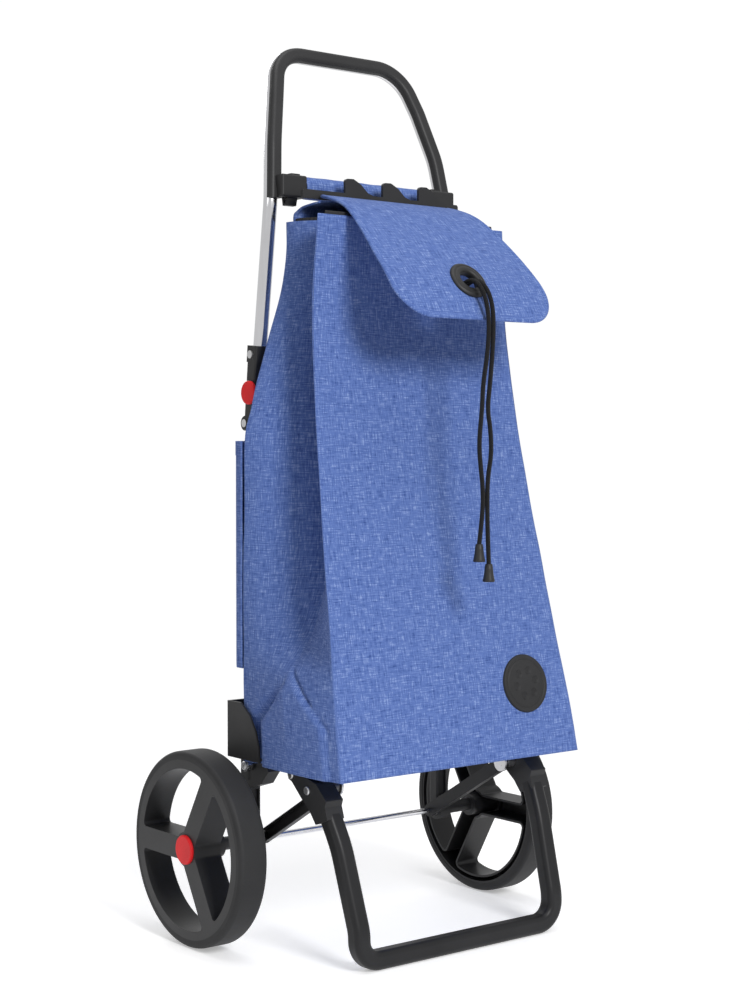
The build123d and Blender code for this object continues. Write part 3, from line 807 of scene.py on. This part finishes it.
def make_knot():
    """Overhand knot behind the eyelet, as a closed coil of the cord."""
    curve = bpy.data.curves.new("cord_knot_coil", "CURVE")
    curve.dimensions = "3D"
    curve.bevel_depth = 0.0025
    curve.bevel_resolution = 4
    spline = curve.splines.new("NURBS")
    count = 24
    spline.points.add(count - 1)
    centre = Vector((0.005, -0.1276, 0.7306))
    for i in range(count):
        a = 2 * math.pi * i / count
        r = 0.0042 + 0.0018 * math.cos(3 * a)
        p = centre + Vector((r * math.cos(2 * a) * 1.1, r * math.sin(2 * a) * 0.9, 0.0028 * math.sin(3 * a)))
        spline.points[i].co = (*p, 1)
    spline.use_cyclic_u = True
    spline.order_u = 3
    knot = bpy.data.objects.new("cord_knot_coil", curve)
    bpy.context.scene.collection.objects.link(knot)
    curve.materials.append(BRAID)
    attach(knot, "flap")
    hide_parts("cord_knot")


make_knot()


def make_badge():
    """Moulded rubber disc with a raised rim, a shallow ring groove and a ring of plain dimples."""
    lean = math.atan2(37.0, 173.0)
    centre = Vector((0.103, -0.1346, 0.290))
    out = Vector((0, -math.cos(lean), math.sin(lean)))
    up = Vector((0, math.sin(lean), math.cos(lean)))
    side = Vector((1, 0, 0))
    dimples = [(15.0 * math.cos(a), 15.0 * math.sin(a)) for a in (i * math.pi / 3 + 0.2 for i in range(6))]
    radii = [33.4 * math.sin(i / 56 * math.pi / 2) for i in range(57)]
    segments = 144
    points, uvs = [], []

    def height(x, y):
        r = math.hypot(x, y)
        h = 1.7 - 2.4 * max(0.0, (r - 31.6) / 1.8) ** 2
        h -= 0.9 * math.exp(-(((r - 27.5) / 0.9) ** 2))
        for dx, dy in dimples:
            d = math.hypot(x - dx, y - dy)
            h -= 1.6 * (1 - smoothstep(d, 4.0, 4.8))
        return h

    for r in radii[1:]:
        for i in range(segments):
            a = 2 * math.pi * i / segments
            x, y = r * math.cos(a), r * math.sin(a)
            points.append(centre + (side * x + up * y + out * height(x, y)) * MM)
            uvs.append((x * MM, y * MM))
    top = len(points)
    points.append(centre + out * height(0, 0) * MM)
    uvs.append((0, 0))
    for i in range(segments):
        a = 2 * math.pi * i / segments
        x, y = 33.4 * math.cos(a), 33.4 * math.sin(a)
        points.append(centre + (side * x + up * y - out * 1.8) * MM)
        uvs.append((x * MM, y * MM))
    rings = len(radii) - 1
    faces = [tuple(reversed(f)) for f in grid_faces(rings, segments, closed=True)]
    faces += [(top, i, (i + 1) % segments) for i in range(segments)]
    last = (rings - 1) * segments
    for i in range(segments):
        j = (i + 1) % segments
        faces.append((last + j, last + i, top + 1 + i, top + 1 + j))
    faces.append(tuple(top + 1 + i for i in range(segments))[::-1])
    badge = make_piece("badge_disc", points, faces, uvs, TYRE, "chassis")
    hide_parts("bag_badge")
    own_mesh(badge)


make_badge()


# ---- crossbar sleeve ----
SLEEVE_HALF = 92.0
BAR_Y = 31.0
BAR_Z = 856.5


def make_sleeve():
    """Padded cloth sleeve round the crossbar, with gathered ends and a seam line underneath."""
    points, uvs = [], []
    columns, rows = 56, 93
    mid_y, mid_z = BAR_Y * MM, BAR_Z * MM
    for r in range(rows):
        x = SLEEVE_HALF * (2 * r / (rows - 1) - 1)
        end = 1 - 0.07 * math.exp(-((SLEEVE_HALF - abs(x)) / 3.0))
        for c in range(columns):
            a = 2 * math.pi * c / columns
            ry, rz = 10.6 * end, 13.0 * end
            puff = 0.45 * noise.noise(Vector((x * 0.05, math.cos(a) * 2, math.sin(a) * 2)))
            seam = -0.8 * math.exp(-((min(a, 2 * math.pi - a) / 0.12) ** 2))
            k = 1 + (puff + seam) / 12
            points.append(Vector((x, BAR_Y - math.sin(a) * ry * k, BAR_Z - math.cos(a) * rz * k)) * MM)
            uvs.append((x * MM, a * 0.012))
    faces = grid_faces(rows, columns, closed=True)
    for end, flip in ((0, False), (rows - 1, True)):
        start = len(points)
        x = points[end * columns].x
        for c in range(columns):
            p = points[end * columns + c]
            q = Vector((x, mid_y + (p.y - mid_y) * 0.42, mid_z + (p.z - mid_z) * 0.38))
            points.append(q)
            uvs.append((q.y, q.z))
        for c in range(columns):
            d = (c + 1) % columns
            quad = (end * columns + c, start + c, start + d, end * columns + d)
            faces.append(quad if flip else tuple(reversed(quad)))
    sleeve = make_piece("crossbar_sleeve_cloth", points, faces, uvs, BLUE, "handle")
    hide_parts("crossbar_sleeve")


make_sleeve()


# ---- cords ----
CORD_LEFT = [
    (2.0, -133.5, 735.0), (2.0, -145.5, 743.7), (2.5, -160.5, 743.5), (4.0, -171.5, 732.0),
    (6.0, -177.0, 714.0), (7.0, -178.5, 690.0), (4.5, -178.0, 660.0), (-1.0, -177.5, 630.0),
    (-3.0, -178.0, 600.0), (-6.5, -177.0, 566.0), (-4.5, -177.5, 540.0), (-0.5, -177.0, 516.0),
    (-1.0, -177.5, 490.0), (-5.0, -176.0, 455.0),
]
CORD_RIGHT = [
    (8.0, -133.5, 735.0), (8.0, -145.5, 743.7), (9.5, -160.5, 743.5), (11.5, -171.5, 732.0),
    (13.0, -177.5, 714.0), (13.0, -179.0, 690.0), (11.0, -178.5, 655.0), (8.0, -178.0, 625.0),
    (4.5, -178.5, 602.0), (10.0, -177.5, 580.0), (11.0, -178.0, 553.0), (6.0, -177.5, 528.0),
    (4.8, -178.0, 500.0), (5.2, -178.5, 465.0), (5.5, -180.0, 433.0),
]


BELL = [
    (0.3, 0.2), (3.2, 0.2), (3.9, -0.3), (4.1, -1.2), (4.3, -3.0), (4.6, -3.4), (4.7, -6.0), (5.3, -11.0),
    (6.1, -15.5), (6.7, -18.0), (6.7, -19.0), (6.2, -19.4), (5.2, -19.4), (4.6, -17.5), (0.3, -17.0),
]


def make_cord(side, route):
    curve = bpy.data.curves.new(f"cord_{side}_braid", "CURVE")
    curve.dimensions = "3D"
    curve.bevel_depth = 0.0025
    curve.bevel_resolution = 6
    curve.resolution_u = 16
    curve.use_fill_caps = True
    spline = curve.splines.new("NURBS")
    spline.points.add(len(route) - 1)
    for point, (x, y, z) in zip(spline.points, route):
        point.co = (x * MM, y * MM, z * MM, 1)
    spline.order_u = 3
    spline.use_endpoint_u = True
    cord = bpy.data.objects.new(f"cord_{side}_braid", curve)
    bpy.context.scene.collection.objects.link(cord)
    curve.materials.append(BRAID)
    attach(cord, "flap")
    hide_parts(f"cord_{side}")
    x, y, z = route[-1]
    foot = (x * MM, y * MM, z * MM)
    end = lathe(f"cord_{side}_bell", BELL, foot, (0, 0, 1), BLACK, "flap", 48)
    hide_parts(f"cord_end_{side}")


make_cord("left", CORD_LEFT)
make_cord("right", CORD_RIGHT)


# ---- end ----
bpy.context.view_layer.update()
